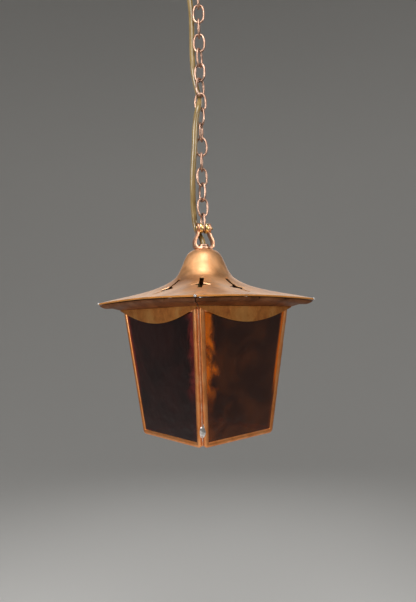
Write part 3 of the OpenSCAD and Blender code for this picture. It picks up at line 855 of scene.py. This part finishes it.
def add_link(number, body):
    """An oval link bent from wire, with its butt joint open by a hair at the bottom."""
    name = "chain_link_%02d" % number
    low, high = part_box(name)
    centre = Vector((0, 0, (low.z + high.z) / 2))
    half_w = LINK_W / 2 - WIRE_R
    half_h = (high.z - low.z) / 2 - WIRE_R
    oval = 2 / 2.5
    gap = math.radians(3.5)
    steps = 72
    path = []
    for i in range(steps + 1):
        a = -math.pi / 2 + gap + (2 * math.pi - 2 * gap) * i / steps
        c, d = math.cos(a), math.sin(a)
        path.append(Vector((
            math.copysign(half_w * abs(c) ** oval, c), 0.12 * MM * noise.noise(Vector((i * 0.09, number, 0))),
            math.copysign(half_h * abs(d) ** oval, d),
        )))

    def ends(i, a):
        return 0.86 if i in (0, steps) else 1

    link = tube("link_%02d" % number, path, WIRE_R, 18, MAT["chain_copper"], shape=ends)
    turn = Matrix.Rotation(math.radians(LINK_TURN[number - 1]), 4, "Z")
    link.data.transform(Matrix.Translation(centre) @ turn)
    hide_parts(name)
    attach(link, body)


# ---------------------------------------------------------------- carried-over CAD nodes

def finish_node(name, material, bevel=0.25 * MM):
    """Gives a CAD node its material and soft edges; its own mesh stays as packed."""
    node = NODES[name]
    node.data.materials.clear()
    node.data.materials.append(material)
    weld = node.modifiers.new("weld", "WELD")
    weld.merge_threshold = 0.01 * MM
    if bevel:
        soften = node.modifiers.new("bevel", "BEVEL")
        soften.width = bevel
        soften.segments = 2
        soften.limit_method = "ANGLE"
        soften.angle_limit = math.radians(35)
        soften.harden_normals = True
    node.data.shade_smooth()


def add_filament():
    """Glass stem and coiled filament inside the bulb."""
    low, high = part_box("bulb_glass")
    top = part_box("bulb_cap")[0].z
    stem = lathe("bulb_stem", [
        (0, top - 0.3 * MM), (6 * MM, top - 0.3 * MM), (5 * MM, top - 5 * MM), (3 * MM, top - 14 * MM),
        (2 * MM, top - 22 * MM), (0, top - 24 * MM),
    ], MAT["clear_glass"], sides=32)
    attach(stem, "lantern")
    centre = (low.z + high.z) / 2 - 6 * MM
    for side in (-1, 1):
        post = tube("filament_post_%s" % ("left" if side < 0 else "right"), [
            (side * 1.2 * MM, 0, top - 20 * MM), (side * 4 * MM, 0, top - 28 * MM),
            (side * 11 * MM, 0, centre),
        ], 0.35 * MM, 10, MAT["zinc"])
        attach(post, "lantern")
    turns, length = 26, 22 * MM
    coil = []
    for i in range(turns * 12 + 1):
        a = 2 * math.pi * i / 12
        along = (i / (turns * 12) - 0.5) * length
        sag = 3 * MM * (1 - (2 * along / length) ** 2)
        coil.append((along, 0.6 * MM * math.cos(a), centre - sag + 0.6 * MM * math.sin(a)))
    wire = tube("filament", coil, 0.14 * MM, 6, MAT["zinc"])
    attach(wire, "lantern")


# ---------------------------------------------------------------- stage

def add_stage():
    """A pale floor that curves up into a backdrop all round, and soft lights."""
    floor_z = cad_box[0][2] - 500 * MM
    flat, bend, top = 1.6, 1.8, 3.4
    outline = [(flat * i / 8, 0) for i in range(1, 9)]
    for i in range(1, 17):
        a = math.pi / 32 * i
        outline.append((flat + bend * math.sin(a), bend - bend * math.cos(a)))
    outline.append((flat + bend, top))
    sides = 96
    verts = [(0, 0, floor_z)]
    for r, z in outline:
        for j in range(sides):
            a = 2 * math.pi * j / sides
            verts.append((r * math.cos(a), r * math.sin(a), floor_z + z))
    faces = [(0, 1 + j, 1 + (j + 1) % sides) for j in range(sides)]
    faces += [tuple(1 + i for i in face) for face in grid_faces(len(outline), sides)]
    floor = make_object("floor", verts, faces, plain_stage("floor", (0.60, 0.59, 0.57)))
    world = bpy.data.worlds.new("studio")
    world.use_nodes = True
    world.node_tree.nodes["Background"].inputs["Color"].default_value = (0.80, 0.79, 0.77, 1)
    world.node_tree.nodes["Background"].inputs["Strength"].default_value = 0.16
    bpy.context.scene.world = world
    middle = Vector((0, 0, EAVES_Z))
    for name, place, size, power in (
        ("key", (0.05, -0.75, 1.05), 0.8, 12.5), ("spark", (0.06, -0.60, 1.10), 0.08, 0.7),
        ("left", (-0.90, -0.90, 0.40), 0.7, 18), ("right", (0.90, -0.60, 0.40), 0.3, 5),
        ("back", (0.0, 1.0, 0.52), 1.0, 2.5),
    ):
        data = bpy.data.lights.new(name, "AREA")
        data.size = size
        data.energy = power
        lamp = bpy.data.objects.new(name, data)
        lamp.location = middle + Vector(place)
        lamp.rotation_euler = (middle - lamp.location).to_track_quat("-Z", "Y").to_euler()
        bpy.context.scene.collection.objects.link(lamp)


# ---------------------------------------------------------------- build

add_camera()
add_flex()
add_roof()
add_tip_blobs()
for place, angle in CORNERS.items():
    # The soffit gets the darkened copper, painted shade under the eaves
    add_strip("soffit", soffit_line, place, angle)
    add_strip("apron", apron_line, place, angle)
    add_frame(place, angle)
    # Painted shade on two panes and painted light on the other two
    add_glass(place, angle, MAT["shaded_glass" if place in ("front_left", "back_right") else "lit_glass"])
add_seams()
add_solder_drop()
for run in BODIES[1:-1]:
    for link_name in frame["record"]["behaviour"]["bodies"][run]:
        add_link(int(link_name[-2:]), run)
add_filament()
for node_name, look in {
    "ceiling_bracket": "zinc", "ceiling_hook": "copper", "shank_nuts": "brass", "ceiling_cup": "copper",
    "cord_grip": "brass", "cord_grip_nut": "brass", "terminal_block": "white_plastic", "stirrup": "copper",
    "cross_pin": "dull_brass", "pin_spacers": "brass", "collar_nut": "chain_copper", "nipple": "dull_brass",
    "inner_nut": "dull_brass", "lampholder_cap": "dull_brass", "lampholder_body": "dull_brass",
    "shade_ring": "dull_brass", "contact_plungers": "zinc", "bulb_cap": "zinc",
}.items():
    finish_node(node_name, MAT[look])
finish_node("bulb_glass", MAT["clear_glass"], bevel=0)
add_stage()
